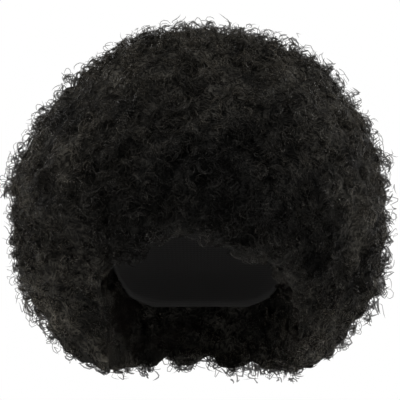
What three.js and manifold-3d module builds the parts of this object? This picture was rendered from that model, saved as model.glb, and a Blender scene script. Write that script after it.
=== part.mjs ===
// Afro wig in its worn shape: a stretch cap and the five masses of curls that cover it.
// Units are millimetres. +Z is up, the face opening looks along -Y, and +X is the wearer's left.
// The origin is the inside top of the cap, where it sits on the crown of the head.
import * as THREE from "three";
import { ConvexHull } from "three/addons/math/ConvexHull.js";
import { mergeVertices } from "three/addons/utils/BufferGeometryUtils.js";
import Module from "manifold-3d";

const wasm = await Module();
wasm.setup();

// The head that the cap is cut for
const headWidth = 152;
const headLength = 190;
const domeHeight = 110; // from the crown down to the level where the head is widest
const neckWidth = 132; // across the hollow at the hair's lower end

// Cap
const capWall = 1.8;
const rootGap = 0.4; // between the cap and the hair on it
const capDepth = 138; // from the crown down to the cap's edge at the nape

// Hair
const afroWidth = 322;
const frontReach = 151; // from the crown's axis forward to the fringe
const backReach = 184; // from the crown's axis back
const hairAbove = 99; // from the crown up
const hairBelow = 192; // from the crown down
const faceWidth = 147;
const fringeDrop = 75; // from the crown down to the top of the face opening
const partingGap = 0.6; // between neighbouring masses of hair

// Locks
const lockCount = 430;
const lockStand = 15; // how far a lock stands out of the valleys round it
const lockTwist = 28; // degrees that a lock's shoulder is turned from its foot

// How fine the faceted solids are
const headSides = 28;
const domeRings = 6;
const coneSides = 28;
const edgeSteps = 2; // pieces of an edge between two rows of its table
const spare = 20; // how far a cutting solid runs past what it cuts

// The mass of hair from its lower end, level 0, to its top, level 1.
// The lengths are shares of half the width, the front reach and the back reach.
const hairSections = [
  { level: 0.0, width: 0.62, front: 0.48, back: 0.55 },
  { level: 0.07, width: 0.75, front: 0.52, back: 0.7 },
  { level: 0.15, width: 0.86, front: 0.57, back: 0.83 },
  { level: 0.24, width: 0.95, front: 0.7, back: 0.93 },
  { level: 0.36, width: 0.99, front: 0.91, back: 0.98 },
  { level: 0.48, width: 1.0, front: 1.0, back: 1.0 },
  { level: 0.6, width: 0.97, front: 0.97, back: 0.96 },
  { level: 0.71, width: 0.88, front: 0.89, back: 0.87 },
  { level: 0.81, width: 0.74, front: 0.75, back: 0.74 },
  { level: 0.9, width: 0.57, front: 0.58, back: 0.57 },
  { level: 0.96, width: 0.37, front: 0.38, back: 0.37 },
  { level: 1.0, width: 0.0, front: 0.0, back: 0.0 },
];
const endDip = -0.93; // the z of the unit directions below which the mass turns in to its flat lower end

// The edge of the face opening, from the lower end on the wearer's right over the forehead to the left.
// across is a share of half the face width, and down a share of the way from fringeDrop to hairBelow.
const faceEdge = [
  { across: -0.9, down: 1.0 },
  { across: -0.94, down: 0.73 },
  { across: -0.97, down: 0.47 },
  { across: -1.01, down: 0.29 },
  { across: -0.92, down: 0.2 },
  { across: -0.79, down: 0.21 },
  { across: -0.66, down: 0.22 },
  { across: -0.58, down: 0.15 },
  { across: -0.51, down: 0.07 },
  { across: -0.41, down: 0.06 },
  { across: -0.26, down: 0.03 },
  { across: -0.07, down: 0.0 },
  { across: 0.06, down: 0.06 },
  { across: 0.15, down: 0.1 },
  { across: 0.26, down: 0.1 },
  { across: 0.36, down: 0.17 },
  { across: 0.6, down: 0.18 },
  { across: 0.73, down: 0.22 },
  { across: 0.82, down: 0.31 },
  { across: 0.92, down: 0.38 },
  { across: 1.01, down: 0.53 },
  { across: 1.03, down: 0.61 },
  { across: 0.97, down: 0.75 },
  { across: 0.96, down: 1.0 },
];

// The cap's edge from forehead to nape in the side view: down before the ear, up over it and down again.
// along is a share of half the head's length, and drop a share of the cap's depth.
const capEdge = [
  { along: -1.1, drop: 0.33 },
  { along: -0.9, drop: 0.34 },
  { along: -0.7, drop: 0.5 },
  { along: -0.5, drop: 0.7 },
  { along: -0.28, drop: 0.76 },
  { along: -0.05, drop: 0.7 },
  { along: 0.16, drop: 0.65 },
  { along: 0.38, drop: 0.76 },
  { along: 0.6, drop: 0.93 },
  { along: 0.82, drop: 1.0 },
  { along: 1.1, drop: 1.0 },
];

// The parted masses round the crown, by bearing: 0 degrees is the front and 90 the wearer's left.
const partings = [
  { name: "fringe_hair", from: -38, to: 38 },
  { name: "side_hair_left", from: 38, to: 125 },
  { name: "back_hair", from: 125, to: 235 },
  { name: "side_hair_right", from: 235, to: 322 },
];
const crownTilt = 35; // half the angle of the cone that parts off the crown's curls
const partingDepth = 80; // from the crown down to the point that the partings run out from

const hairMaterial = new THREE.MeshStandardMaterial({ color: 0x15130f, roughness: 0.55, metalness: 0 });
const capMaterial = new THREE.MeshStandardMaterial({ color: 0x1c1b1b, roughness: 0.85, metalness: 0 });

const xAxis = new THREE.Vector3(1, 0, 0);
const yAxis = new THREE.Vector3(0, 1, 0);
const zAxis = new THREE.Vector3(0, 0, 1);

// A closed geometry as a solid that can be joined and cut.
function solidOf(geometry) {
  const bare = geometry.clone();
  bare.deleteAttribute("normal");
  bare.deleteAttribute("uv");
  const merged = mergeVertices(bare);
  return new wasm.Manifold(
    new wasm.Mesh({
      numProp: 3,
      vertProperties: new Float32Array(merged.attributes.position.array),
      triVerts: new Uint32Array(merged.index.array),
    }),
  );
}

// A solid back as a geometry.
function geometryOf(solid) {
  const mesh = solid.getMesh();
  const geometry = new THREE.BufferGeometry();
  geometry.setAttribute("position", new THREE.BufferAttribute(mesh.vertProperties, 3));
  geometry.setIndex(new THREE.BufferAttribute(mesh.triVerts, 1));
  geometry.computeVertexNormals();
  return geometry;
}

// The largest body of a solid: the crumbs that a parting cuts off the locks are dropped.
function mainBody(solid) {
  return solid.decompose().reduce((best, body) => (body.volume() > best.volume() ? body : best));
}

// The head, larger by grow all round: half an ellipsoid on a wall that draws in to the neck, down to low.
function headForm(grow, low) {
  const neckShare = neckWidth / headWidth;
  const lowShare = 1 - ((1 - neckShare) * (-low - domeHeight)) / (hairBelow - domeHeight);
  const profile = [new THREE.Vector2(0, low), new THREE.Vector2(lowShare, low)];
  for (let i = 0; i <= domeRings; i++) {
    const tilt = ((1 - i / domeRings) * Math.PI) / 2;
    const height = -domeHeight + (domeHeight + grow) * Math.cos(tilt);
    profile.push(new THREE.Vector2(i === domeRings ? 0 : Math.sin(tilt), height));
  }
  const geometry = new THREE.LatheGeometry(profile, headSides);
  geometry.rotateX(Math.PI / 2);
  geometry.scale(headWidth / 2 + grow, headLength / 2 + grow, 1);
  return solidOf(geometry);
}

// A solid drawn as an outline of [y, z] points in the side view, right across the wearer's width.
function acrossWidth(points) {
  const depth = headWidth + 2 * spare;
  const geometry = new THREE.ExtrudeGeometry(new THREE.Shape(points), { depth, bevelEnabled: false });
  geometry.translate(0, 0, -depth / 2);
  geometry.applyMatrix4(new THREE.Matrix4().makeBasis(yAxis, zAxis, xAxis));
  return solidOf(geometry);
}

// All that lies above the cap's edge.
function aboveCapEdge() {
  const edge = new THREE.SplineCurve(
    capEdge.map(({ along, drop }) => new THREE.Vector2((along * headLength) / 2, -drop * capDepth)),
  );
  const outline = edge.getPoints(edgeSteps * (capEdge.length - 1));
  outline.push(new THREE.Vector2(outline.at(-1).x, spare), new THREE.Vector2(outline[0].x, spare));
  return acrossWidth(outline);
}

// The stretch cap: an open dome, cut along its edge.
function wigCap() {
  const outside = headForm(capWall, -capDepth - spare);
  const inside = headForm(0, -capDepth - 2 * spare);
  return outside.subtract(inside).intersect(aboveCapEdge());
}

// The hair's table as a smooth curve whose points are [width, front, back].
const sectionCurve = new THREE.CatmullRomCurve3(
  hairSections.map(({ width, front, back }) => new THREE.Vector3(width, front, back)),
);

// The hair section at a level from 0 to 1, as shares of half the width, the front reach and the back reach.
function sectionAt(level) {
  const row = Math.max(1, hairSections.findIndex((section) => section.level >= level));
  const share = THREE.MathUtils.inverseLerp(hairSections[row - 1].level, hairSections[row].level, level);
  return sectionCurve.getPoint((row - 1 + share) / (hairSections.length - 1)).toArray();
}

// The point at the foot of the locks that lies in a direction from the middle of the mass.
function footPoint(direction) {
  const { x, y, z } = direction.clone().normalize();
  const level = THREE.MathUtils.clamp((z - endDip) / (1 - endDip), 0, 1);
  const [width, front, back] = sectionAt(level);
  const round = Math.hypot(x, y) || 1;
  const inwards = z < endDip ? round / Math.sqrt(1 - endDip * endDip) : 1;
  const reach = y < 0 ? front * (frontReach - lockStand) : back * (backReach - lockStand);
  return new THREE.Vector3(
    (inwards * width * (afroWidth / 2 - lockStand) * x) / round,
    (inwards * reach * y) / round,
    THREE.MathUtils.lerp(lockStand - hairBelow, hairAbove - lockStand, level),
  );
}

// The point that stands out from the foot of the locks by a height.
function pointAbove(direction, height) {
  const side = new THREE.Vector3().crossVectors(direction, Math.abs(direction.z) < 0.9 ? zAxis : yAxis);
  const up = new THREE.Vector3().crossVectors(direction, side.normalize());
  const foot = footPoint(direction);
  const alongSide = footPoint(direction.clone().addScaledVector(side, 0.02)).sub(foot);
  const alongUp = footPoint(direction.clone().addScaledVector(up, 0.02)).sub(foot);
  return foot.addScaledVector(alongSide.cross(alongUp).normalize(), height);
}

// The middles of the locks, as unit directions spread evenly in a sunflower's order.
function lockDirections() {
  const golden = Math.PI * (3 - Math.sqrt(5));
  return Array.from({ length: lockCount }, (_, i) => {
    const z = 1 - (2 * (i + 0.5)) / lockCount;
    const round = Math.sqrt(1 - z * z);
    return new THREE.Vector3(round * Math.sin(i * golden), round * Math.cos(i * golden), z);
  });
}

// The whole mass covered in locks. Neighbouring middles form triangles, and the middle of each is a valley.
// A lock rises from its ring of valleys over a twisted shoulder to a tip that leans to one side.
function hairForm() {
  const middles = lockDirections();
  const { faces } = new ConvexHull().setFromPoints(middles);
  const points = [];
  const addPoint = (direction, height) => points.push(pointAbove(direction.normalize(), height)) - 1;

  const valleys = new Map(faces.map((face) => [face, addPoint(face.midpoint.clone(), 0)]));
  const twist = THREE.MathUtils.degToRad(lockTwist);
  const locks = middles.map((middle, i) => {
    const lean = new THREE.Vector3().crossVectors(middle, xAxis).normalize().applyAxisAngle(middle, i * 2.4);
    const tipHeight = lockStand * (0.6 + 0.4 * Math.sin(i * 1.7));
    const tip = addPoint(middle.clone().addScaledVector(lean, 0.025), tipHeight);
    const shoulderHeight = lockStand * (0.85 + 0.15 * Math.sin(i * 2.9));
    return { middle, tip, shoulderHeight, twist: i % 2 ? twist : -twist, shoulders: new Map() };
  });
  const lockOf = new Map(locks.map((lock) => [lock.middle, lock]));
  const shoulderOf = ({ middle, twist, shoulderHeight, shoulders }, face) => {
    if (!shoulders.has(face)) {
      const direction = middle.clone().lerp(face.midpoint, 0.62).applyAxisAngle(middle, twist);
      shoulders.set(face, addPoint(direction, shoulderHeight));
    }
    return shoulders.get(face);
  };

  const index = [];
  for (const face of faces) {
    for (const edge of [face.getEdge(0), face.getEdge(1), face.getEdge(2)]) {
      const lock = lockOf.get(edge.tail().point);
      const before = edge.twin.face;
      const [foot, nextFoot] = [valleys.get(before), valleys.get(face)];
      const [shoulder, nextShoulder] = [shoulderOf(lock, before), shoulderOf(lock, face)];
      index.push(foot, nextFoot, nextShoulder);
      index.push(foot, nextShoulder, shoulder);
      index.push(shoulder, nextShoulder, lock.tip);
    }
  }
  const geometry = new THREE.BufferGeometry().setFromPoints(points);
  geometry.setIndex(index);
  return solidOf(geometry);
}

// The edge of the face opening in the front view, as [x, z] points.
function faceOutline() {
  const outline = faceEdge.map(
    ({ across, down }) =>
      new THREE.Vector2((across * faceWidth) / 2, THREE.MathUtils.lerp(-fringeDrop, -hairBelow, down)),
  );
  const low = -hairBelow - spare;
  outline.push(new THREE.Vector2(outline.at(-1).x, low), new THREE.Vector2(outline[0].x, low));
  return outline;
}

// The space for the face: its outline run from the front back into the head.
function faceSpace() {
  const depth = frontReach + spare;
  const geometry = new THREE.ExtrudeGeometry(new THREE.Shape(faceOutline()), { depth, bevelEnabled: false });
  geometry.applyMatrix4(new THREE.Matrix4().makeBasis(xAxis, zAxis, yAxis.clone().negate()));
  return solidOf(geometry);
}

// The cone that holds the crown's curls, larger by grow all round.
function crownCone(grow) {
  const height = hairAbove + partingDepth + spare;
  const radius = height * Math.tan(THREE.MathUtils.degToRad(crownTilt));
  const geometry = new THREE.ConeGeometry(radius, height, coneSides);
  geometry.rotateX(-Math.PI / 2);
  const slip = grow / Math.sin(THREE.MathUtils.degToRad(crownTilt));
  geometry.translate(0, 0, height / 2 - partingDepth - slip);
  return solidOf(geometry);
}

// The upright wedge between two bearings, held back from its neighbours by half the parting gap.
function wedge(from, to) {
  const middle = THREE.MathUtils.degToRad((from + to) / 2);
  const half = THREE.MathUtils.degToRad((to - from) / 2);
  const away = partingGap / 2 / Math.sin(half);
  const reach = afroWidth + backReach;
  const outline = [new THREE.Vector2(away * Math.sin(middle), -away * Math.cos(middle))];
  for (let i = -2; i <= 2; i++) {
    const bearing = middle + (half * i) / 2;
    outline.push(
      new THREE.Vector2(
        away * Math.sin(middle) + reach * Math.sin(bearing),
        -away * Math.cos(middle) - reach * Math.cos(bearing),
      ),
    );
  }
  const depth = hairAbove + hairBelow + 2 * spare;
  const geometry = new THREE.ExtrudeGeometry(new THREE.Shape(outline), { depth, bevelEnabled: false });
  geometry.translate(0, 0, -hairBelow - spare);
  return solidOf(geometry);
}

// The hair with its locks, hollow for the head and open for the face.
function allHair() {
  return hairForm().subtract(headForm(capWall + rootGap, -hairBelow - spare)).subtract(faceSpace());
}

function meshOf(name, solid, material) {
  const mesh = new THREE.Mesh(geometryOf(solid), material);
  mesh.name = name;
  return mesh;
}

const wig = new THREE.Group();
wig.add(meshOf("wig_cap", wigCap(), capMaterial));

const hair = allHair();
wig.add(meshOf("crown_hair", mainBody(hair.intersect(crownCone(0))), hairMaterial));
const roundHair = hair.subtract(crownCone(partingGap));
for (const { name, from, to } of partings) {
  wig.add(meshOf(name, mainBody(roundHair.intersect(wedge(from, to))), hairMaterial));
}

export default wig;
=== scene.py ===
"""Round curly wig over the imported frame: a knitted stretch cap, a matted underlayer and masses of tight curls."""

import math
from functools import partialmethod

import bmesh
import bpy
import numpy as np
from bpy.props import EnumProperty, FloatProperty, FloatVectorProperty, IntProperty, PointerProperty
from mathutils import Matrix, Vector
from mathutils.bvhtree import BVHTree


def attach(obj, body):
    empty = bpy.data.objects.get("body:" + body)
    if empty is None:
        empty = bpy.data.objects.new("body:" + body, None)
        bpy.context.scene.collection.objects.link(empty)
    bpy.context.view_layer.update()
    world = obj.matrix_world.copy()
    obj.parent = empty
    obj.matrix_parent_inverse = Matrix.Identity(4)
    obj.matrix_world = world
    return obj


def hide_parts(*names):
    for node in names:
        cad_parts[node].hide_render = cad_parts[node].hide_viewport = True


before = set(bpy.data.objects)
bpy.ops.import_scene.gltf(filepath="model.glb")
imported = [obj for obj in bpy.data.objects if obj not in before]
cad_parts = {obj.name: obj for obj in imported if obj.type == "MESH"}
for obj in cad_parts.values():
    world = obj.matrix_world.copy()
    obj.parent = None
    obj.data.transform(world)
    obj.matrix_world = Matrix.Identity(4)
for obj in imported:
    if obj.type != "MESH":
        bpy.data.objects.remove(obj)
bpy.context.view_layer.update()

bl_info = {
    "name": "Afro Wig",
    "version": (1, 0, 0),
    "blender": (4, 5, 0),
    "location": "3D View > Sidebar > Wig",
    "description": "Dresses the frame of a round curly wig with a knitted cap and curls",
    "category": "Mesh",
}

# Head that the cap is knitted for, in metres: half width and half length, height of its dome, how far the neck
# reaches below the dome's widest level, and the share of each width that it has lost there.
HEAD_HALF = np.array([0.076, 0.095])
DOME_HEIGHT = 0.110
NECK_DROP = 0.082
NECK_TAPER = 1 - 132 / 152

# Edge of the cap: place along the head's half length, and drop below the crown as a share of the depth.
CAP_DEPTH = 0.138
CAP_EDGE = {
    "along": [-1.1, -0.9, -0.7, -0.5, -0.28, -0.05, 0.16, 0.38, 0.6, 0.82, 1.1],
    "drop": [0.33, 0.34, 0.5, 0.7, 0.76, 0.7, 0.65, 0.76, 0.93, 1.0, 1.0],
}

# Where the first row of the cap's grid stands and where its dome ends, as shares of the way down.
CAP_FIRST_ROW = 0.02
CAP_DOME_SHARE = 0.75

# Middle and half sizes of the round mass of hair, from which the curls point away, and the middle of the opening
# for the face.
AFRO_MIDDLE = np.array([0.0, 0.016, -0.062])
AFRO_HALF = np.array([0.161, 0.168, 0.155])
OPENING_MIDDLE = np.array([0.0, 0.0, -0.14])

# How deep the wall of the opening is drawn back, in metres: under the curls, for their roots and for the curls.
UNDERLAYER_PUSH = 0.0062
ROOT_PUSH = 0.0055
CURL_PUSH = 0.004

# How far the curls and the underlayer stay off the head's form, which clears the cap.
CURL_OFF_HEAD = 0.0022
UNDERLAYER_OFF_HEAD = 0.0026

# Ways in which locks and strands differ. Of wide waves and small hoops: size as a share of the set radius, least
# and how much more; tilt from the way they point, in degrees, least and how much more; turn of the part that
# shows, in radians to either side.
WAVE = {"size": (1.8, 2.0), "tilt": (5, 30), "spin": math.pi}
HOOP = {"size": (0.7, 0.9), "tilt": (30, 56), "spin": 0.5}

# Least and most of the even draws, as shares of what is set: a wave's radius, the turns, the rise, the bend as a
# share of the rise, and the thickness.
WAVE_RADIUS = (0.65, 1.35)
TURNS = (0.7, 1.3)
RISE = (0.7, 1.7)
BEND = (-1.2, 0)
THICKNESS = (0.7, 1.3)

# Segments along an ordinary strand and along a stray one.
STEPS, STRAY_STEPS = 5, 7

# Patches of the mass's outline that are flatter or fuller than the frame: place across and height of the middle,
# radius, and how much flatter, in metres; fuller where it is below nought.
PATCHES = [
    (-0.105, 0.045, 0.055, 0.0045),
    (0.100, 0.069, 0.030, -0.0035),
    (-0.150, -0.002, 0.014, 0.0030),
    (-0.154, -0.084, 0.030, 0.0030),
    (-0.136, -0.152, 0.022, 0.0040),
    (0.156, -0.022, 0.020, 0.0040),
    (0.154, -0.082, 0.028, 0.0050),
    (0.152, -0.118, 0.020, -0.0030),
    (0.140, -0.155, 0.024, 0.0050),
]

# Long patches of painted shade at the front, and one of painted light at the lower left: place across and height of
# the middle, lean, half length, half width, and the share of the brightness that is lost at the middle, or won where
# it is below nought.
SHADE_AND_LIGHT_PATCHES = [
    (0.004, -0.018, 0.40, 0.092, 0.021, 0.55),
    (0.036, -0.048, 0.30, 0.040, 0.026, 0.5),
    (-0.072, -0.056, 0.90, 0.040, 0.022, 0.62),
    (0.085, -0.078, -0.90, 0.046, 0.018, 0.6),
    (-0.103, -0.155, -0.60, 0.045, 0.030, -0.95),
]

# The pieces of curls: the frame's node that each one dresses, the side of the middle that it keeps to where one
# node is dressed in two, the seed of its curls, and its share of the curls' density.
MASSES = {
    "crown": ("crown_hair", 0, 11, 1.35),
    "fringe": ("fringe_hair", 0, 23, 1.35),
    "side_left": ("side_hair_left", 0, 37, 0.96),
    "side_right": ("side_hair_right", 0, 41, 0.96),
    "back_left": ("back_hair", 1, 53, 1.05),
    "back_right": ("back_hair", -1, 67, 1.05),
}

# Least and most triangles of a piece of curls.
CURL_TRIANGLES = (5_000, 200_000)

# Colour that a node group's colour outputs start from.
BLACK = (0.0, 0.0, 0.0, 1.0)

# Studio lamps, all turned to the wig: place, size, power as a share of the key light, and colour.
WIG_MIDDLE = (0, 0, -0.06)
LAMPS = {
    "top_lamp": ((-0.1, -0.25, 1.95), 1.2, 1.5, (1, 1, 1)),
    "left_lamp": ((-1.9, -0.8, -0.35), 1.3, 1.1, (1, 0.99, 0.97)),
    "right_lamp": ((1.95, -0.6, 0.3), 1.3, 1.05, (0.98, 0.99, 1)),
    "back_left_lamp": ((-1.5, 1.5, 0.5), 1.3, 1.2, (1, 1, 1)),
    "back_right_lamp": ((1.5, 1.5, 0.5), 1.3, 1.2, (1, 1, 1)),
}
FLOOR_HALF = 6.0
SENSOR_WIDTH = 36


# ---------------------------------------------------------------- sizes and colours to set


class WigCurlSettings(bpy.types.PropertyGroup):
    density: FloatProperty(
        name="Curls per square centimetre", description="How many curls stand on the hair's surface",
        default=7.1, min=0.5,
    )
    radius: FloatProperty(
        name="Curl radius", description="Radius of a curl's turns", default=0.0025, min=0.001, unit="LENGTH"
    )
    rise: FloatProperty(
        name="Rise", description="Length of a curl along its own axis", default=0.0064, min=0.002, unit="LENGTH"
    )
    turns: FloatProperty(name="Turns", description="Turns of a curl round its axis", default=0.75, min=0.3)
    thickness: FloatProperty(
        name="Thickness", description="Thickness of a strand of fibres", default=0.0014, min=0.0002, unit="LENGTH"
    )
    fibres_in_lock: IntProperty(name="Strands in a lock", description="Strands that share one curl", default=6, min=1)
    cover: FloatProperty(
        name="Cover", description="How much of what is behind it one side of a strand, a few fibres with gaps, hides",
        default=0.48, min=0, max=1, subtype="FACTOR",
    )
    wave_share: FloatProperty(
        name="Wave share", description="Share of the locks that lie flat in wide waves", default=0.5, subtype="FACTOR"
    )
    proud_share: FloatProperty(
        name="Proud share", description="Share of the locks that stand out as tufts", default=0.09, subtype="FACTOR"
    )
    proud_stand: FloatProperty(
        name="Proud stand", description="How much further a proud lock stands out", default=0.0045, unit="LENGTH"
    )
    loose_share: FloatProperty(
        name="Loose share", description="Share of the strands that leave their lock", default=0.3, subtype="FACTOR"
    )
    lock_spread: FloatProperty(
        name="Lock spread", description="How far the strands of a lock lie apart", default=0.0014, unit="LENGTH"
    )
    stand: FloatProperty(
        name="Stand", description="How far the curls stand out of the frame's surface", default=0.0035, unit="LENGTH"
    )
    stray_share: FloatProperty(
        name="Stray share", description="Share of the curls that are thin, long and stand further out",
        default=0.36, subtype="FACTOR",
    )
    stray_stand: FloatProperty(
        name="Stray stand", description="How much further a stray curl stands out", default=0.0065, unit="LENGTH"
    )
    colour: FloatVectorProperty(
        name="Fibre colour", description="Colour of the fibres", subtype="COLOR", size=3,
        default=(0.0125, 0.0115, 0.0101),
    )
    tip_colour: FloatVectorProperty(
        name="Tip colour", description="Colour of the fibres near their tips", subtype="COLOR", size=3,
        default=(0.0168, 0.0152, 0.0128),
    )
    roughness: FloatProperty(
        name="Fibre roughness", description="Roughness of the fibres", default=0.5, min=0.05, max=1, subtype="FACTOR"
    )


class WigCapSettings(bpy.types.PropertyGroup):
    wall: FloatProperty(
        name="Wall", description="Thickness of the knitted cap", default=0.0018, min=0.0005, unit="LENGTH"
    )
    hem: FloatProperty(
        name="Hem", description="Height of the turned hem along the cap's edge", default=0.007, unit="LENGTH"
    )
    stitch: FloatProperty(
        name="Stitch", description="Width of a knitted stitch", default=0.0022, min=0.0005, unit="LENGTH"
    )
    colour: FloatVectorProperty(
        name="Yarn colour", description="Colour of the yarn", subtype="COLOR", size=3, default=(0.021, 0.02, 0.0195)
    )


class WigStageSettings(bpy.types.PropertyGroup):
    distance: FloatProperty(
        name="Camera distance", description="Distance of the camera from the wig's middle", default=3.0, unit="LENGTH"
    )
    view_width: FloatProperty(
        name="View width", description="Width of what the camera sees at the wig", default=0.3282, unit="LENGTH"
    )
    aim: FloatProperty(
        name="Aim", description="Height of the camera against the crown", default=-0.0475, unit="LENGTH"
    )
    floor_drop: FloatProperty(
        name="Floor drop", description="How far the floor lies below the crown", default=0.6, unit="LENGTH"
    )
    soft_light: FloatProperty(name="Soft light", description="Strength of the light from all round", default=0.13)
    key_light: FloatProperty(name="Key light", description="Power of the large lamp above", default=34.0)


# ---------------------------------------------------------------- meshes


def linked(name, data):
    """New object in the scene."""
    piece = bpy.data.objects.new(name, data)
    bpy.context.scene.collection.objects.link(piece)
    return piece


def mesh_piece(name, points, quads, triangles=None, uv=None, smooth=True):
    """Puts arrays of points, of four-sided and of three-sided faces into one mesh object; uv has one row a corner."""
    mesh = bpy.data.meshes.new(name)
    triangles = np.empty((0, 3), int) if triangles is None else triangles
    corners = np.concatenate([quads.ravel(), triangles.ravel()]).astype(np.int32)
    sizes = np.concatenate([np.full(len(quads), 4), np.full(len(triangles), 3)])
    mesh.vertices.add(len(points))
    mesh.vertices.foreach_set("co", points.astype(np.float32).ravel())
    mesh.loops.add(len(corners))
    mesh.loops.foreach_set("vertex_index", corners)
    mesh.polygons.add(len(sizes))
    mesh.polygons.foreach_set("loop_start", np.concatenate([[0], np.cumsum(sizes)[:-1]]).astype(np.int32))
    mesh.polygons.foreach_set("use_smooth", np.full(len(sizes), smooth))
    if uv is not None:
        layer = mesh.uv_layers.new(name="strand")
        layer.data.foreach_set("uv", uv.astype(np.float32).ravel())
    mesh.update(calc_edges=True)
    mesh.validate()
    return linked(name, mesh)


def unit(v):
    """Each row of v divided by its length."""
    return v / np.maximum(np.linalg.norm(v, axis=-1, keepdims=True), 1e-12)


def smooth_step(t):
    """Three times the square of t less twice its cube, which eases in and out."""
    return t * t * (3 - 2 * t)


def mesh_points(mesh):
    """Places of a mesh's vertices, one row each."""
    points = np.empty(len(mesh.vertices) * 3, np.float32)
    mesh.vertices.foreach_get("co", points)
    return points.reshape(-1, 3).astype(float)


def head_share(points, grow):
    """1 on the head's form grown by a wall, less inside it: half ellipsoid above, straight taper below."""
    half = HEAD_HALF + grow
    up = np.maximum(points[:, 2] + DOME_HEIGHT, 0) / (DOME_HEIGHT + grow)
    down = np.maximum(-DOME_HEIGHT - points[:, 2], 0) / NECK_DROP
    level = ((points[:, :2] / half / (1 - NECK_TAPER * down)[:, None]) ** 2).sum(1)
    return np.sqrt(level + up**2)


def cap_edge_height(y):
    """Height of the cap's edge at places y along the head."""
    return -CAP_DEPTH * np.interp(y / HEAD_HALF[1], CAP_EDGE["along"], CAP_EDGE["drop"])


def cap_surface(grow, columns, rows):
    """Dome grown by a wall: for each column, a bearing round the head, the rows run down a meridian from
    the crown to the level where the dome meets the cap's edge line less an inset. Across and along it is the
    head's half size times the sine of the angle from the crown, and its height the dome's times the cosine,
    then a straight taper below the widest level. The angle of the edge is found by halving, in one array."""
    inset, halvings = 0.0006, 24
    bearing = np.linspace(0, 2 * math.pi, columns, endpoint=False)
    half = HEAD_HALF + grow

    def at(s):
        """Points at shares s of the way down: first the dome, past it the straight wall."""
        turn = np.minimum(s / CAP_DOME_SHARE, 1) * math.pi / 2
        below = np.maximum(s - CAP_DOME_SHARE, 0) / (1 - CAP_DOME_SHARE) * NECK_DROP
        wide = np.sin(turn) * (1 - NECK_TAPER * below / NECK_DROP)
        x = half[0] * wide * np.sin(bearing)[:, None]
        y = -half[1] * wide * np.cos(bearing)[:, None]
        z = (DOME_HEIGHT + grow) * np.cos(turn) - DOME_HEIGHT - below
        return np.stack([x, y, np.broadcast_to(z, x.shape)], -1)

    low, high = np.zeros((columns, 1)), np.ones((columns, 1))
    for _ in range(halvings):
        middle = (low + high) / 2
        p = at(middle)
        above = p[..., 2] > cap_edge_height(p[..., 1]) + inset
        low, high = np.where(above, middle, low), np.where(above, high, middle)
    shares = np.linspace(CAP_FIRST_ROW, 1, rows)[None, :]
    return at(low * shares), low


def knitted_cap(wall, hem):
    """Closed cap: the outer dome, a rounded edge, and the inner dome with a thicker turned hem along the edge.
    The wall's thickness is eased away from the neighbours, and each dome is closed by a fan at the crown."""
    columns, rows = 120, 44
    ease, meridian = 0.0001, 0.15
    hem_thickness, hem_slope, edge_round = 0.0007, 0.0012, 0.0005
    from_head_stretch, from_head_shift = [1, 1, 0.6], [0, 0, 0.06]
    outer, edge = cap_surface(wall - ease, columns, rows)
    inner, _ = cap_surface(0.0, columns, rows)
    down = np.linspace(CAP_FIRST_ROW, 1, rows)
    length = meridian * edge.ravel() / edge.max()
    from_edge = (1 - down)[None, :] * length[:, None]
    turned = smooth_step(np.clip((hem - from_edge) / hem_slope, 0, 1))
    inward = -unit(inner * from_head_stretch + from_head_shift)
    inner = inner + inward * (hem_thickness * turned)[..., None]
    round_edge = (outer[:, -1] + inner[:, -1]) / 2 - [0, 0, edge_round]
    grid = np.concatenate([outer, round_edge[:, None], inner[:, ::-1]], 1)
    count = grid.shape[1]
    points = np.concatenate([grid.reshape(-1, 3), [[0, 0, wall - ease], [0, 0, 0]]])
    i = np.arange(columns)[:, None]
    j = np.arange(count - 1)[None, :]
    next_i = (i + 1) % columns
    here, beside = i * count + j, next_i * count + j
    quads = np.stack([here, here + 1, beside + 1, beside], -1).reshape(-1, 4)
    ring, next_ring = i.ravel() * count, next_i.ravel() * count
    crown, last = np.full(columns, columns * count), count - 1
    top = np.stack([crown, ring, next_ring], -1)
    bottom = np.stack([crown + 1, next_ring + last, ring + last], -1)
    return points, quads, np.concatenate([top, bottom])


def node_triangles(node):
    """Corners of a frame node's triangles, as an array of three points each."""
    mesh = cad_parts[node].data
    mesh.calc_loop_triangles()
    index = np.empty(len(mesh.loop_triangles) * 3, np.int32)
    mesh.loop_triangles.foreach_get("vertices", index)
    return mesh_points(mesh)[index.reshape(-1, 3)]


def frame_tree():
    """Search tree of all the frame's triangles, which tells the open faces from those against a neighbour."""
    corners = np.concatenate([node_triangles(node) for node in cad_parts])
    faces = np.arange(len(corners) * 3).reshape(-1, 3)
    return BVHTree.FromPolygons(corners.reshape(-1, 3).tolist(), faces.tolist())


def open_faces(node, side, tree):
    """A node's triangles that look into the open: nothing stands within 3 mm in front of them."""
    free_space, off_face, least_area = 0.003, 5e-5, 1e-9
    corners = node_triangles(node)
    if side:
        corners = corners[corners.mean(1)[:, 0] * side > 0]
    edges = np.cross(corners[:, 1] - corners[:, 0], corners[:, 2] - corners[:, 0])
    area = np.linalg.norm(edges, axis=1) / 2
    whole = area > least_area
    corners, normal, area = corners[whole], unit(edges)[whole], area[whole]
    rays = zip((corners.mean(1) + normal * off_face).tolist(), normal.tolist())
    free = np.array([tree.ray_cast(Vector(start), Vector(way), free_space)[0] is None for start, way in rays])
    return corners[free], normal[free], area[free]


def from_middle(points):
    """Directions in which the round mass's surface faces: each place from its middle over its half sizes squared."""
    return unit((points - AFRO_MIDDLE) / AFRO_HALF**2)


def on_hollow(points, normals):
    """Which faces are of the head's hollow: close round the head's form, and looking in towards it."""
    wall, near, look = 0.004, 1.05, -0.15
    return (head_share(points, wall) < near) & ((normals * from_middle(points)).sum(1) < look)


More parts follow.
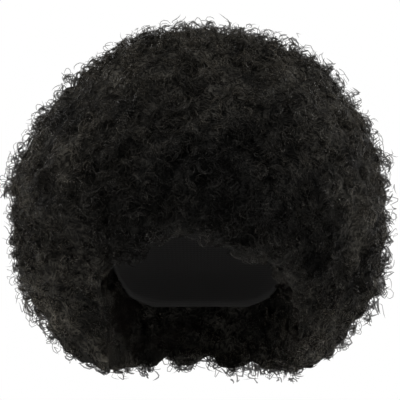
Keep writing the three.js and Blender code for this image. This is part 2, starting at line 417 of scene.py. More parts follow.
def shown_area(corners, normal, area):
    """Area of each face as seen from straight outside the mass, so that the valleys between the frame's locks
    get no more curls than the tops; never under a third of the face. The hollow's wall and the nape's lower edge,
    which are seen from the front, count almost twice."""
    nape_height, nape_half = -0.165, 0.08
    least, inner_weight = 0.33, 1.8
    middle = corners.mean(1)
    seen = np.clip(np.abs((normal * from_middle(middle)).sum(1)), least, 1)
    nape = (middle[:, 2] < nape_height) & (np.abs(middle[:, 0]) < nape_half) & (middle[:, 1] > 0)
    return area * seen * np.where(nape | on_hollow(middle, normal), inner_weight, 1)


def spread_points(corners, normal, area, density, rng):
    """Points strewn evenly over triangles, so many to a square centimetre: equal steps through the summed area, each
    moved at random within its step, then a random place inside the triangle that it falls in."""
    centimetres_in_metre = 100
    count = int(area.sum() * centimetres_in_metre**2 * density)
    steps = (np.arange(count) + rng.random(count)) / count * area.sum()
    face = np.minimum(np.searchsorted(np.cumsum(area), steps), len(area) - 1)
    a, b = rng.random((2, count, 1))
    a, b = np.where(a + b > 1, 1 - a, a), np.where(a + b > 1, 1 - b, b)
    tri = corners[face]
    return tri[:, 0] + a * (tri[:, 1] - tri[:, 0]) + b * (tri[:, 2] - tri[:, 0]), normal[face]


def curl_tubes(middle, axis, across, phase, radius, rise, turns, bend, thickness, hand, mark, steps):
    """Closed three-sided tubes along helices. A fibre's middle line is its middle point, plus its axis times the
    rise times (t minus a half), plus a bend across the axis times (t minus a half) squared, plus a circle whose
    angle is the phase plus t times the turns and whose radius shrinks to about half towards both ends. The tube's
    thickness tapers at both ends. Every fibre is worked out at once, as an array of fibres by steps by sides."""
    narrowing, widening_speed = 0.45, 4
    root_thickness, root_speed, tip_thickness, tip_speed = 0.35, 5, 0.12, 3.2
    sides = 3
    count = len(middle)
    t = np.linspace(0, 1, steps + 1)[None, :, None]

    def each(values):
        """One value a fibre, for all its steps and directions."""
        return values[:, None, None]

    third = np.cross(axis, across)
    angle = each(phase) + 2 * math.pi * each(turns * hand) * t
    widened = 1 - narrowing + narrowing * np.minimum(t * widening_speed, 1)
    swell = each(radius) * (1 - narrowing * t) * widened
    line = (
        middle[:, None]
        + axis[:, None] * each(rise) * (t - 0.5)
        + across[:, None] * each(bend) * (t - 0.5) ** 2
        + swell * (np.cos(angle) * across[:, None] + np.sin(angle) * third[:, None])
    )
    along = unit(np.gradient(line, axis=1))
    reach = line - middle[:, None]
    normal = reach - axis[:, None] * (reach * axis[:, None]).sum(-1, keepdims=True)
    normal = unit(normal - along * (normal * along).sum(-1, keepdims=True))
    other = np.cross(along, normal)
    taper = np.minimum(np.minimum(root_thickness + t * root_speed, 1), tip_thickness + (1 - t) * tip_speed)
    half = each(thickness) / 2 * taper
    turn = (np.arange(sides) * 2 * math.pi / sides)[None, None, :, None]
    ring = half[..., None] * (np.cos(turn) * normal[:, :, None] + np.sin(turn) * other[:, :, None])
    points = (line[:, :, None] + ring).reshape(-1, 3)
    base = (np.arange(count) * (steps + 1) * sides)[:, None, None]
    i, j = np.arange(steps)[None, :, None], np.arange(sides)[None, None, :]
    next_j = (j + 1) % sides
    here, further = base + i * sides, base + (i + 1) * sides
    quads = np.stack([here + j, here + next_j, further + next_j, further + j], -1).reshape(-1, 4)
    ends = np.concatenate([base[:, 0] + [[0, 2, 1]], base[:, 0] + steps * sides + [[0, 1, 2]]])
    shape = (count, steps + 1, sides)
    uv = np.stack([np.broadcast_to(t, shape), np.broadcast_to(each(mark), shape)], -1).reshape(-1, 2)
    return points, quads, ends, np.concatenate([uv[quads.ravel()], uv[ends.ravel()]])


def clear_of_opening(root, corners, normals, depth):
    """Points near the face opening move back from its wall, those that lie beyond it to the wall first: by a depth
    at the wall, and by 0.65 mm less for each millimetre away from it. At the opening's top the depth is 0.7 of this.
    The wall is made of the faces at the opening's sides and top that look neither forward nor back, but across
    it; the frame's locks, which stick out at the wall's edge, aren't among them."""
    sideways, half_width, least_facing, reach = 0.003, 0.078, 0.03, 0.02
    fading = 0.65
    top_heights, top_shares = (-0.118, -0.1), (1, 0.7)
    spots = corners.mean(1)
    facing = ((OPENING_MIDDLE - spots) * normals)[:, [0, 2]].sum(1)
    edge = (np.abs(normals[:, 1]) < sideways) & (spots[:, 1] < 0) & (np.abs(spots[:, 0]) < half_width)
    edge &= facing > least_facing
    if not edge.any():
        return root
    spots, out = spots[edge], normals[edge]
    widest = np.abs(spots[:, 0]).max() + reach
    close = np.where((root[:, 1] < 0) & (np.abs(root[:, 0]) < widest) & (root[:, 2] < 0))[0]
    span = np.linalg.norm((root[close][:, None] - spots[None])[..., [0, 2]], axis=-1)
    near = span.argmin(1)
    away = ((spots[near] - root[close]) * out[near]).sum(1)
    depth = depth * np.interp(root[close, 2], top_heights, top_shares)
    push = depth - np.where(away > 0, fading * away, away)
    push = np.where(span.min(1) < reach, np.maximum(push, 0), 0)
    moved = root.copy()
    moved[close] -= out[near] * push[:, None]
    return moved


def off_head(points, grow, chosen=True):
    """The chosen points that lie inside the head's form grown by a wall move out to it, straight away from the
    middle of its dome or, further down, from the neck's middle line."""
    share = head_share(points, grow)
    middle = np.stack([np.zeros(len(points)), np.zeros(len(points)), np.minimum(points[:, 2], -DOME_HEIGHT)], -1)
    out = middle + (points - middle) / np.maximum(share, 0.5)[:, None]
    return np.where(((share < 1) & chosen)[:, None], out, points)


def off_cap(points):
    """Points that lie inside the cap's outer face, grown by a hair's breadth, move out to it; those more than 4 mm
    below the cap's edge stay."""
    below_edge = 0.004
    return off_head(points, CURL_OFF_HEAD, points[:, 2] > cap_edge_height(points[:, 1]) - below_edge)


def thin_patch(points):
    """How much less the curls stand out where the mass is flatter, and more where it is fuller: a bell curve of
    the distance from each patch's middle, as high as the patch says."""
    x, z, radius, flatter = (np.array(column)[:, None] for column in zip(*PATCHES))
    away = ((points[:, 0] - x) ** 2 + (points[:, 2] - z) ** 2) / radius**2
    return (flatter * np.exp(-away)).sum(0)


def curls_on(node, side, seed, fullness, settings, tree):
    """Curls over the open faces of a mass of hair, in locks of strands that share a helix.

    Outside they lead away from the mass's middle, round the face opening they lean forward along its walls, and in
    the hollow below the cap they are short and lead into it. A share of the locks are wide waves, whose axes point
    nearly outwards so that their turns lie along the surface; the rest are small hoops, whose axes lean far over
    and whose two ends lie inward. A few locks stand proud. Loose strands leave their lock and take a helix of their
    own. Strays are thin, with wider hoops, stand further out, and are marked by a whole 1 more. What lies at the
    face opening is pushed back from it. A curl's outermost point, half the rise times the cosine of the tilt plus
    the radius times its sine, lies as far out as it stands."""
    wall_turn, low_height, low_half = 0.02, -0.172, 0.07
    lead_shares, wall_shares, wall_forward = (0.8, 0.3), (0.7, 0.3), [0, -0.35, 0]
    inner_size, inner_rise, hollow_stand = 1.1, 0.6, 0.005
    wave_turns, stray_turns, stray_size, stray_thickness = -0.6, 1.25, 1.6, 0.42
    radius_spread, turns_spread, rise_spread, axis_spread, phase_spread = 0.1, 0.05, 0.08, 0.07, 0.2
    stand_spread, lock_stand_spread, lock_stand_limits = 0.0008, 0.0017, (-0.004, 0.0022)
    loose_spread, flat_share = 0.005, 0.8
    lock_mark, strand_mark = 0.9, 0.09

    rng = np.random.default_rng(seed)
    per_lock = settings.fibres_in_lock
    corners, normals, area = open_faces(node, side, tree)
    root, face_normal = spread_points(
        corners, normals, shown_area(corners, normals, area), settings.density * fullness / per_lock, rng
    )
    locks = len(root)
    lock = np.repeat(np.arange(locks), per_lock)
    count = len(lock)
    loose = rng.random(count) < settings.loose_share

    def shared(draw, *limits):
        """One draw for each lock, and a draw of its own for each loose strand."""
        common, own = draw(*limits, locks)[lock], draw(*limits, count)
        return np.where(loose.reshape((-1,) + (1,) * (own.ndim - 1)), own, common)

    def ranged(key, share, waves):
        """A measure of the waves and of the hoops: its least value and a share of how much more it can be."""
        (wave_least, wave_more), (least, more) = WAVE[key], HOOP[key]
        return np.where(waves, wave_least + wave_more * share, least + more * share)

    away = from_middle(root)
    hollow = on_hollow(root, face_normal)
    wall = (np.abs(face_normal[:, 1]) < wall_turn) & (root[:, 1] < 0) & ~hollow
    lead = np.where(hollow[:, None], face_normal, unit(lead_shares[0] * away + lead_shares[1] * face_normal))
    wall_lead = unit(face_normal * wall_shares[0] + away * wall_shares[1] + wall_forward)
    lead = np.where(wall[:, None], wall_lead, lead)
    root = clear_of_opening(root, corners, normals, ROOT_PUSH)[lock]
    lead, hollow, wall = lead[lock], hollow[lock], wall[lock]
    inner = hollow | wall
    stray = (rng.random(count) < settings.stray_share) & ~inner

    wave = shared(rng.random) < settings.wave_share
    size = ranged("size", shared(rng.random), wave) * np.where(stray & ~wave, stray_size, 1)
    size = np.where(inner, np.minimum(size, inner_size), size)
    spread = np.where(wave, rng.uniform(*WAVE_RADIUS, count), rng.normal(1, radius_spread, count))
    radius = settings.radius * size * spread
    turns = settings.turns * shared(rng.uniform, *TURNS) * rng.normal(1, turns_spread, count)
    turns = turns * np.where(wave, size**wave_turns, np.where(stray, stray_turns, 1))
    rise = settings.rise * shared(rng.uniform, *RISE) * rng.normal(1, rise_spread, count)
    rise = rise * np.where(inner, inner_rise, 1)
    tilt = np.radians(ranged("tilt", shared(rng.random), wave & ~inner))
    aside = unit(np.cross(lead, unit(shared(lambda n: rng.normal(size=(n, 3))))))
    axis = lead * np.cos(tilt)[:, None] + aside * np.sin(tilt)[:, None]
    axis = unit(axis + rng.normal(0, axis_spread, (count, 3)))
    across = unit(lead - axis * (lead * axis).sum(1)[:, None])
    bend = rise * shared(rng.uniform, *BEND)
    hand = shared(rng.choice, [-1.0, 1.0])
    spin = np.where(wave, WAVE["spin"], HOOP["spin"]) * shared(rng.uniform, -1, 1)
    phase = spin - math.pi * turns * hand + rng.normal(0, phase_spread, count)
    mark = shared(rng.random) * lock_mark + rng.random(count) * strand_mark + np.where(stray, 1, 0)

    thickness = settings.thickness * rng.uniform(*THICKNESS, count) * np.where(stray, stray_thickness, 1)
    low = (root[:, 2] < low_height) & (np.abs(root[:, 0]) > low_half)
    stand = np.where(hollow, hollow_stand, np.where(low, 0.0, settings.stand)) + rng.normal(0, stand_spread, count)
    uneven = shared(lambda n: np.clip(rng.normal(0, lock_stand_spread, n), *lock_stand_limits))
    stand = stand + np.where(inner, 0, uneven)
    proud = (rng.random(locks) < settings.proud_share)[lock] & ~inner & ~low & ~loose
    stand = stand + np.where(proud, settings.proud_stand, 0)
    stand = stand + np.where(stray & ~low, settings.stray_stand * rng.random(count), 0)
    top = rise / 2 * np.cos(tilt) + radius * np.sin(tilt)
    shift = rng.normal(0, 1, (count, 3)) * np.where(loose, loose_spread, settings.lock_spread)[:, None]
    place = root + shift - lead * ((shift * lead).sum(1) * flat_share)[:, None]
    place = clear_of_opening(place, corners, normals, CURL_PUSH)
    stand = stand - thin_patch(place)
    middle = place + lead * (stand - top)[:, None]
    parts = []
    for chosen, steps in ((~stray, STEPS), (stray, STRAY_STEPS)):
        shape = [a[chosen] for a in (middle, axis, across, phase, radius, rise, turns, bend, thickness, hand, mark)]
        parts.append(curl_tubes(*shape, steps))
    (points, quads, ends, uv), (far, far_quads, far_ends, far_uv) = parts
    cut, far_cut = quads.size, far_quads.size
    return (
        off_cap(np.concatenate([points, far])),
        np.concatenate([quads, far_quads + len(points)]),
        np.concatenate([ends, far_ends + len(points)]),
        np.concatenate([uv[:cut], far_uv[:far_cut], uv[cut:], far_uv[far_cut:]]),
    )


def tangled_roots(name, nodes, tree):
    """Dark underlayer of all the masses: the frame's solids, grown by half a millimetre so that they close over
    the partings, as one even skin, drawn in towards the middle by up to 3.3 mm and by what the patches say, drawn
    back from the face opening, and kept off the cap. The draw is the depth times a smooth step of the distance
    from the head's form, and a sum of nine sine waves of 13 to 26 mm in all directions raises tufts on it."""
    close_up, voxel, smoothing, smoothings = 0.0005, 0.0052, 0.5, 4
    head_wall, ease_start, ease_length = 0.002, 0.006, 0.025
    depth, tuft_height, tuft_waves, tuft_lengths, tuft_seed = 0.0033, 0.0006, 9, (0.013, 0.026), 5

    work = bmesh.new()
    for node in nodes:
        work.from_mesh(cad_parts[node].data)
    bmesh.ops.remove_doubles(work, verts=work.verts, dist=1e-6)
    solids = bpy.data.meshes.new(name + "_solids")
    work.to_mesh(solids)
    work.free()
    copy = linked(name + "_copy", solids)
    grow = copy.modifiers.new("grow", "DISPLACE")
    grow.strength, grow.mid_level = close_up, 0
    skin = copy.modifiers.new("skin", "REMESH")
    skin.mode, skin.voxel_size = "VOXEL", voxel
    ease = copy.modifiers.new("ease", "SMOOTH")
    ease.factor, ease.iterations = smoothing, smoothings
    mesh = bpy.data.meshes.new_from_object(copy.evaluated_get(bpy.context.evaluated_depsgraph_get()))
    bpy.data.objects.remove(copy)

    points = mesh_points(mesh)
    from_head = (head_share(points, head_wall) - 1) * HEAD_HALF.mean()
    ease_in = smooth_step(np.clip((from_head - ease_start) / ease_length, 0, 1))
    rng = np.random.default_rng(tuft_seed)
    waves = unit(rng.normal(size=(tuft_waves, 3))) * 2 * math.pi / rng.uniform(*tuft_lengths, tuft_waves)[:, None]
    tufts = np.sin(points @ waves.T + rng.uniform(0, 2 * math.pi, tuft_waves)).sum(1) * tuft_height
    points = points - from_middle(points) * ((depth + thin_patch(points) - tufts) * ease_in)[:, None]
    walls = [open_faces(node, 0, tree)[:2] for node in nodes]
    points = clear_of_opening(points, *(np.concatenate(part) for part in zip(*walls)), UNDERLAYER_PUSH)
    points = off_head(points, UNDERLAYER_OFF_HEAD)
    mesh.vertices.foreach_set("co", points.astype(np.float32).ravel())
    mesh.polygons.foreach_set("use_smooth", np.ones(len(mesh.polygons), bool))
    mesh.update()
    return linked(name, mesh)


# ---------------------------------------------------------------- finishes


class Nodes:
    """Short way to add and join the nodes of one tree, and to do sums with them."""

    def __init__(self, tree):
        self.tree = tree
        tree.nodes.clear()

    def give(self, value, socket):
        """Joins another node's socket, or sets a number or a colour."""
        if isinstance(value, bpy.types.NodeSocket):
            self.tree.links.new(value, socket)
        else:
            socket.default_value = value

    def add(self, kind, inputs=None, **settings):
        node = self.tree.nodes.new(kind)
        for key, value in settings.items():
            setattr(node, key, value)
        for key, value in (inputs or {}).items():
            self.give(value, node.inputs[key])
        return node

    def math(self, operation, a, b=0.0, clamp=False):
        return self.add("ShaderNodeMath", {0: a, 1: b}, operation=operation, use_clamp=clamp).outputs[0]

    plus = partialmethod(math, "ADD")
    minus = partialmethod(math, "SUBTRACT")
    times = partialmethod(math, "MULTIPLY")
    over = partialmethod(math, "DIVIDE")

    def noise(self, place, scale, **inputs):
        return self.add("ShaderNodeTexNoise", {"Vector": place, "Scale": scale, **inputs}).outputs["Fac"]

    def mixed(self, blend, share, a, b):
        inputs = {0: share, 6: a, 7: b}
        return self.add("ShaderNodeMix", inputs, data_type="RGBA", blend_type=blend, clamp_factor=True).outputs[2]

    def scaled(self, colour, gain):
        return self.add("ShaderNodeVectorMath", {0: colour, "Scale": gain}, operation="SCALE").outputs[0]

    def group(self, group, inputs):
        return self.add("ShaderNodeGroup", inputs, node_tree=group).outputs


def shader_group(name, inputs, outputs):
    """Empty node group. Its inputs are vectors where no value is given, colours where it has four numbers and
    single numbers otherwise, and so are its outputs. Returns it, its nodes, and the sockets at its two ends."""
    group = bpy.data.node_groups.new(name, "ShaderNodeTree")
    nodes = Nodes(group)
    for way, sockets in (("INPUT", inputs), ("OUTPUT", outputs)):
        for label, value in sockets.items():
            kind = "Vector" if value is None else "Color" if isinstance(value, tuple) else "Float"
            socket = group.interface.new_socket(label, in_out=way, socket_type="NodeSocket" + kind)
            if value is not None and way == "INPUT":
                socket.default_value = value
    return group, nodes, nodes.add("NodeGroupInput").outputs, nodes.add("NodeGroupOutput").inputs


def fibre_group():
    """Tone of crimped fibres. Each lock has its own shade. The colour turns to a second one by a power of the place
    along the strand, and both ends get painted shade: they are dimmed by the sine of that place. Strays, marked above
    1, are paler. A fine noise is the height of the fibres and changes their roughness, and each lock's own number
    does too."""
    tip_power, tip_share = 2.2, 0.8
    stray_more, middle_more, end_light = 0.55, 0.55, 0.45
    lock_swing, least_shade = 1.2, 0.25
    grain_scale, grain_rough, lock_rough = 2600.0, 0.3, 0.16
    colours = {"Colour": (0.012, 0.011, 0.01, 1), "Tip colour": (0.02, 0.018, 0.016, 1)}
    group, n, start, end = shader_group(
        "fibre_tone",
        {"Strand": None, "Place": None, **colours, "Shade spread": 0.5, "Roughness": 0.4},
        {"Colour": BLACK, "Roughness": 0.0, "Height": 0.0},
    )
    along, mark, _ = n.add("ShaderNodeSeparateXYZ", {0: start["Strand"]}).outputs
    lock = n.add("ShaderNodeTexWhiteNoise", {"W": mark}, noise_dimensions="1D").outputs["Value"]
    grain = n.noise(start["Place"], grain_scale, Detail=2.0)
    tip = n.times(n.math("POWER", along, tip_power), tip_share)
    colour = n.mixed("MIX", tip, start["Colour"], start["Tip colour"])
    pale = n.plus(n.times(n.math("GREATER_THAN", mark, 1.0), stray_more), 1.0)
    # Painted shade at both ends of a strand, whose middle is brightest.
    painted_end_shade = n.plus(n.times(n.math("SINE", n.times(along, math.pi)), middle_more), end_light)
    swing = n.times(n.minus(lock, 0.5), lock_swing)
    gain = n.math("MAXIMUM", n.plus(n.times(swing, start["Shade spread"]), 1.0), least_shade)
    n.give(n.scaled(colour, n.times(n.times(gain, painted_end_shade), pale)), end["Colour"])
    rough = n.plus(start["Roughness"], n.times(n.minus(grain, 0.5), grain_rough), clamp=True)
    n.give(n.plus(rough, n.times(n.minus(lock, 0.5), lock_rough)), end["Roughness"])
    n.give(grain, end["Height"])
    return group


def tint_and_painted_light_group():
    """Tint by place, with painted light and shade: painted shade in the middle and painted light towards the mass's
    outline, which is also warmer there, by the distance from its middle seen from the front as a share of its half
    sizes; painted shade, and at the lower left painted light, over long patches, by bell curves that count at the
    front only. A noise of several sizes makes lighter and darker tufts from half a centimetre to four."""
    half_width, half_height, middle_drop = 0.16, 0.155, 0.06
    rim_light_start, rim_light_gain, front_gain = 0.3, 1.55, -20.0
    middle_shade_tint, rim_light_tint = (0.82, 0.81, 0.79, 1), (1.6, 1.52, 1.33, 1)
    tuft_scale, tuft_swing, tuft_gain, least_gain = 26.0, 4.5, 1.04, 0.3
    group, n, start, end = shader_group(
        "hair_tint_and_painted_light", {"Place": None, "Colour": (0.012, 0.011, 0.01, 1)}, {"Colour": BLACK}
    )
    x, y, z = n.add("ShaderNodeSeparateXYZ", {0: start["Place"]}).outputs

    def squares(a, b):
        """Sum of two squares."""
        return n.plus(*(n.math("POWER", n.math("ABSOLUTE", share), 2.0) for share in (a, b)))

    # Painted light towards the mass's outline and painted shade in its middle, by the distance from the middle seen
    # from the front.
    out = n.math("SQRT", squares(n.over(x, half_width), n.over(n.plus(z, middle_drop), half_height)))
    rim_light = n.times(n.minus(out, rim_light_start), rim_light_gain, clamp=True)
    # Painted shade over long patches at the front, and painted light over the one at the lower left.
    painted_shade_and_light = 0.0
    for middle_x, middle_z, lean, half_long, half_wide, depth in SHADE_AND_LIGHT_PATCHES:
        across, up = n.minus(x, middle_x), n.minus(z, middle_z)
        along = n.plus(n.times(across, math.cos(lean)), n.times(up, math.sin(lean)))
        aside = n.minus(n.times(up, math.cos(lean)), n.times(across, math.sin(lean)))
        bell = n.math("EXPONENT", n.times(squares(n.over(along, half_long), n.over(aside, half_wide)), -1.0))
        painted_shade_and_light = n.math("MAXIMUM" if depth > 0 else "ADD", painted_shade_and_light, n.times(bell, depth))
    front = n.times(y, front_gain, clamp=True)
    painted_light_tint = n.mixed("MIX", rim_light, middle_shade_tint, rim_light_tint)
    colour = n.mixed("MULTIPLY", 1.0, start["Colour"], painted_light_tint)
    tuft = n.noise(start["Place"], tuft_scale, Detail=3.0, Roughness=0.62)
    gain = n.math("MAXIMUM", n.plus(n.times(n.minus(tuft, 0.5), tuft_swing), tuft_gain), least_gain)
    n.give(n.scaled(colour, n.times(gain, n.minus(1.0, n.times(painted_shade_and_light, front)))), end["Colour"])
    return group


def tangle_group():
    """Matted underlayer: two layers of nested curled fibres, each the sine of a noise times a large number, so that
    the fibres follow the noise's contour lines. The colour is lighter along the fibres and darker between them, which
    is their pattern and also painted shade between them, and painted shade dims the gaps between tufts, which are
    another noise."""
    line_turns, line_power, line_height = 44.0, 2.5, 0.25
    shade_gap_level, shade_gap_slope = 0.3, 2.5
    line_gain, line_base, tuft_gain, tuft_base = 1.7, 0.25, 0.8, 0.4
    layers = (((0.0, 0.0, 0.0), 1.0), ((0.37, 0.11, 0.53), 0.7))
    group, n, start, end = shader_group(
        "tangled_fibre",
        {"Place": None, "Scale": 120.0, "Colour": (0.0125, 0.0116, 0.0102, 1)},
        {"Colour": BLACK, "Height": 0.0},
    )
    lines = []
    for offset, coarser in layers:
        place = n.add("ShaderNodeVectorMath", {0: start["Place"], 1: offset}, operation="ADD").outputs[0]
        swirl = n.noise(place, n.times(start["Scale"], coarser), Detail=2.0, Roughness=0.4, Distortion=0.8)
        lines.append(n.times(n.plus(n.math("SINE", n.times(swirl, line_turns)), 1.0), 0.5))
    ridge = n.math("POWER", n.math("MAXIMUM", *lines), line_power)
    tuft = n.noise(start["Place"], start["Scale"], Detail=2.0)
    tuft = n.times(n.minus(tuft, shade_gap_level), shade_gap_slope, clamp=True)
    # Painted shade: darker between the fibre lines and in the gaps between tufts.
    lit = n.times(n.plus(n.times(ridge, line_gain), line_base), n.plus(n.times(tuft, tuft_gain), tuft_base))
    n.give(n.scaled(start["Colour"], lit), end["Colour"])
    n.give(n.plus(n.times(ridge, line_height), tuft), end["Height"])
    return group


def knit_group():
    """Knitted stitches: the place across is cut into wales and the place down into courses, each course leans up
    towards the wale's middle, and the height is a half circle over each leg of yarn. The colour is dimmed where the
    height is low: painted shade in the grooves between the legs and courses."""
    course_share, groove_shade_gain, least_gain = 0.75, 0.8, 0.45
    group, n, start, end = shader_group(
        "knitted_stitch",
        {"Across": 0.0, "Down": 0.0, "Stitch": 0.0022, "Colour": (0.017, 0.016, 0.0155, 1)},
        {"Colour": BLACK, "Height": 0.0},
    )
    wale = n.math("FRACT", n.over(start["Across"], start["Stitch"]))
    lean = n.math("ABSOLUTE", n.minus(wale, 0.5))
    course = n.math("FRACT", n.plus(n.over(start["Down"], n.times(start["Stitch"], course_share)), lean))
    leg = n.math("SINE", n.times(n.math("FRACT", n.times(wale, 2.0)), math.pi))
    height = n.times(leg, n.math("SINE", n.times(course, math.pi)))
    # Painted shade in the grooves between the yarn's legs and courses.
    n.give(n.scaled(start["Colour"], n.plus(n.times(height, groove_shade_gain), least_gain)), end["Colour"])
    n.give(height, end["Height"])
    return group


def finish_material(name, roughness, specular):
    """New material with a Principled shader whose constant sockets are set; returns it, its nodes, the shader's
    inputs and the place in the object's own frame."""
    material = bpy.data.materials.new(name)
    material.use_nodes = True
    n = Nodes(material.node_tree)
    shader = n.add("ShaderNodeBsdfPrincipled", {"Roughness": roughness, "Specular IOR Level": specular})
    n.add("ShaderNodeOutputMaterial", {0: shader.outputs[0]})
    return material, n, shader.inputs, n.add("ShaderNodeTexCoord").outputs["Object"]


def give_tone(n, shader, tone, strength, distance):
    """Joins a tone's colour to the shader, and its height through a bump."""
    bump = n.add("ShaderNodeBump", {"Strength": strength, "Distance": distance, "Height": tone["Height"]})
    n.give(tone["Colour"], shader["Base Color"])
    n.give(bump.outputs[0], shader["Normal"])


def tinted_with_painted_light(n, place, colour):
    """A colour with the hair's tint by place, which holds painted light at the outline and painted shade in the
    middle and over patches.
    """
    group = bpy.data.node_groups.get("hair_tint_and_painted_light") or tint_and_painted_light_group()
    return n.group(group, {"Place": place, "Colour": (*colour, 1)})["Colour"]


def curl_finish(settings):
    """Glossy crimped fibre, one side of which hides only a share of what is behind it."""
    material, n, shader, place = finish_material("curled_fibre", settings.roughness, specular=0.09)
    # The tint by place adds painted light and shade to the fibre colours.
    tones = {"Colour": tinted_with_painted_light(n, place, settings.colour), "Tip colour": tinted_with_painted_light(n, place, settings.tip_colour)}
    strand = n.add("ShaderNodeUVMap", uv_map="strand").outputs[0]
    inputs = {"Strand": strand, "Place": place, **tones, "Shade spread": 0.4, "Roughness": settings.roughness}
    tone = n.group(fibre_group(), inputs)
    give_tone(n, shader, tone, strength=0.25, distance=0.0002)
    n.give(tone["Roughness"], shader["Roughness"])
    n.give(settings.cover, shader["Alpha"])
    return material


def base_finish():
    """Matt tangled fibre of the underlayer."""
    material, n, shader, place = finish_material("tangled_underlayer", roughness=0.85, specular=0.04)
    # The tint by place adds painted light and shade to the underlayer's colour.
    colour = tinted_with_painted_light(n, place, (0.0102, 0.0099, 0.0094))
    tone = n.group(tangle_group(), {"Place": place, "Colour": colour})
    give_tone(n, shader, tone, strength=0.9, distance=0.004)
    return material


def knit_finish(settings):
    """Matt stretch knit, its wales running down from the crown."""
    head_radius = 0.086
    material, n, shader, place = finish_material("stretch_knit", roughness=0.8, specular=0.25)
    x, y, z = n.add("ShaderNodeSeparateXYZ", {0: place}).outputs
    across = n.times(n.math("ARCTAN2", x, y), head_radius)
    inputs = {"Across": across, "Down": z, "Stitch": settings.stitch, "Colour": (*settings.colour, 1)}
    give_tone(n, shader, n.group(knit_group(), inputs), strength=0.6, distance=0.0004)
    return material


def floor_finish():
    """Pale floor with a faint mottle."""
    material, n, shader, place = finish_material("pale_floor", roughness=0.7, specular=0.3)
    ramp = n.add("ShaderNodeValToRGB", {0: n.noise(place, scale=6.0, Detail=3.0)})
    for element, grey in zip(ramp.color_ramp.elements, ((0.80, 0.80, 0.79, 1), (0.86, 0.86, 0.85, 1))):
        element.color = grey
    n.give(ramp.outputs[0], shader["Base Color"])
    return material


def studio_world(strength):
    """World that looks white to the camera and gives a soft light from all round."""
    world = bpy.data.worlds.new("studio")
    world.use_nodes = True
    n = Nodes(world.node_tree)
    sky = n.add("ShaderNodeBackground", {"Color": (1, 1, 1, 1), "Strength": 1.0})
    glow = n.add("ShaderNodeBackground", {"Color": (0.97, 0.985, 1, 1), "Strength": strength})
    seen = n.add("ShaderNodeLightPath").outputs["Is Camera Ray"]
    mix = n.add("ShaderNodeMixShader", {0: seen, 1: glow.outputs[0], 2: sky.outputs[0]})
    n.add("ShaderNodeOutputWorld", {0: mix.outputs[0]})
    return world


# ---------------------------------------------------------------- operators


class WIG_OT_cap(bpy.types.Operator):
    """Knits the stretch cap that the hair stands on"""

    bl_idname = "wig.cap"
    bl_label = "Knitted cap"

    def execute(self, context):
        settings = context.scene.wig_cap
        piece = mesh_piece("knit_cap", *knitted_cap(settings.wall, settings.hem))
        piece.data.materials.append(knit_finish(settings))
        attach(piece, "root")
        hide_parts("wig_cap")
        return {"FINISHED"}


class WIG_OT_underlayer(bpy.types.Operator):
    """Makes the dark tangled underlayer that all the curls grow out of"""

    bl_idname = "wig.underlayer"
    bl_label = "Tangled underlayer"

    def execute(self, context):
        nodes = list(dict.fromkeys(node for node, *_ in MASSES.values()))
        piece = tangled_roots("hair_underlayer", nodes, frame_tree())
        piece.data.materials.clear()
        piece.data.materials.append(base_finish())
        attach(piece, "root")
        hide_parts(*nodes)
        return {"FINISHED"}


class WIG_OT_curls(bpy.types.Operator):
    """Strews curls over one mass of hair"""

    bl_idname = "wig.curls"
    bl_label = "Curls"

    mass: EnumProperty(
        name="Mass", description="Which mass of hair gets its curls",
        items=[(key, key.replace("_", " "), "") for key in MASSES],
    )

    def execute(self, context):
        row, settings = MASSES[self.mass], context.scene.wig_curls
        piece = mesh_piece(self.mass + "_curls", *curls_on(*row, settings, frame_tree()))
        triangles = sum(len(p.vertices) - 2 for p in piece.data.polygons)
        if not CURL_TRIANGLES[0] < triangles < CURL_TRIANGLES[1]:
            raise RuntimeError(f"{piece.name} has {triangles} triangles; change the curls per square centimetre")
        piece.data.materials.append(bpy.data.materials.get("curled_fibre") or curl_finish(settings))
        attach(piece, "root")
        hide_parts(row[0])
        return {"FINISHED"}


def soft_lamp(name, place, size, power, colour):
    """Square area lamp at a place, turned to the wig."""
    lamp = bpy.data.lights.new(name, "AREA")
    lamp.energy, lamp.size, lamp.color = power, size, colour
    holder = linked(name, lamp)
    holder.location = place
    holder.rotation_euler = (Vector(WIG_MIDDLE) - Vector(place)).to_track_quat("-Z", "Y").to_euler()


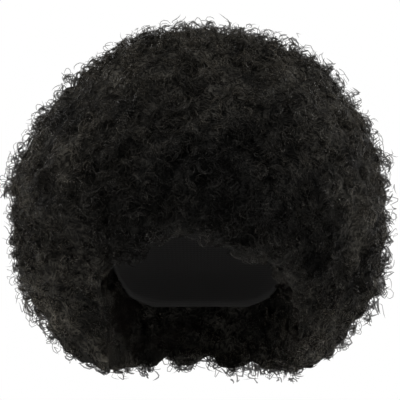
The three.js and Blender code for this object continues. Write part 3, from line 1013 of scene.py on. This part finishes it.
class WIG_OT_stage(bpy.types.Operator):
    """Sets up the pale floor, the soft studio light and the camera"""

    bl_idname = "wig.stage"
    bl_label = "Floor, light and camera"

    def execute(self, context):
        scene, settings = context.scene, context.scene.wig_stage
        corners = np.array([[-1, -1, 0], [1, -1, 0], [1, 1, 0], [-1, 1, 0]]) * FLOOR_HALF
        floor = mesh_piece("floor", corners - [0, 0, settings.floor_drop], np.array([[0, 1, 2, 3]]), smooth=False)
        floor.data.materials.append(floor_finish())

        scene.world = studio_world(settings.soft_light)
        for name, (place, size, share, colour) in LAMPS.items():
            soft_lamp(name, place, size, settings.key_light * share, colour)

        camera = bpy.data.cameras.new("camera")
        camera.sensor_width = SENSOR_WIDTH
        camera.lens = SENSOR_WIDTH * settings.distance / settings.view_width
        camera.clip_start, camera.clip_end = 0.05, 60
        holder = linked("camera", camera)
        holder.location = (0, -settings.distance, settings.aim)
        holder.rotation_euler = (math.pi / 2, 0, 0)
        scene.camera = holder
        scene.view_settings.view_transform = "Standard"
        return {"FINISHED"}


class WIG_PT_panel(bpy.types.Panel):
    bl_idname = "WIG_PT_panel"
    bl_label = "Afro wig"
    bl_space_type = "VIEW_3D"
    bl_region_type = "UI"
    bl_category = "Wig"

    def draw(self, context):
        layout, scene = self.layout, context.scene
        layout.operator("wig.cap")
        layout.operator("wig.underlayer")
        for key in MASSES:
            layout.operator("wig.curls", text=key.replace("_", " ") + " curls").mass = key
        layout.operator("wig.stage")
        for group in (scene.wig_curls, scene.wig_cap, scene.wig_stage):
            box = layout.box()
            for name in group.__annotations__:
                box.prop(group, name)


CLASSES = (
    WigCurlSettings,
    WigCapSettings,
    WigStageSettings,
    WIG_OT_cap,
    WIG_OT_underlayer,
    WIG_OT_curls,
    WIG_OT_stage,
    WIG_PT_panel,
)


def register():
    for cls in CLASSES:
        bpy.utils.register_class(cls)
    bpy.types.Scene.wig_curls = PointerProperty(type=WigCurlSettings)
    bpy.types.Scene.wig_cap = PointerProperty(type=WigCapSettings)
    bpy.types.Scene.wig_stage = PointerProperty(type=WigStageSettings)


def unregister():
    del bpy.types.Scene.wig_stage, bpy.types.Scene.wig_cap, bpy.types.Scene.wig_curls
    for cls in reversed(CLASSES):
        bpy.utils.unregister_class(cls)


def main():
    register()
    bpy.ops.wig.stage()
    bpy.ops.wig.cap()
    bpy.ops.wig.underlayer()
    for key in MASSES:
        bpy.ops.wig.curls(mass=key)


if __name__ == "__main__":
    main()
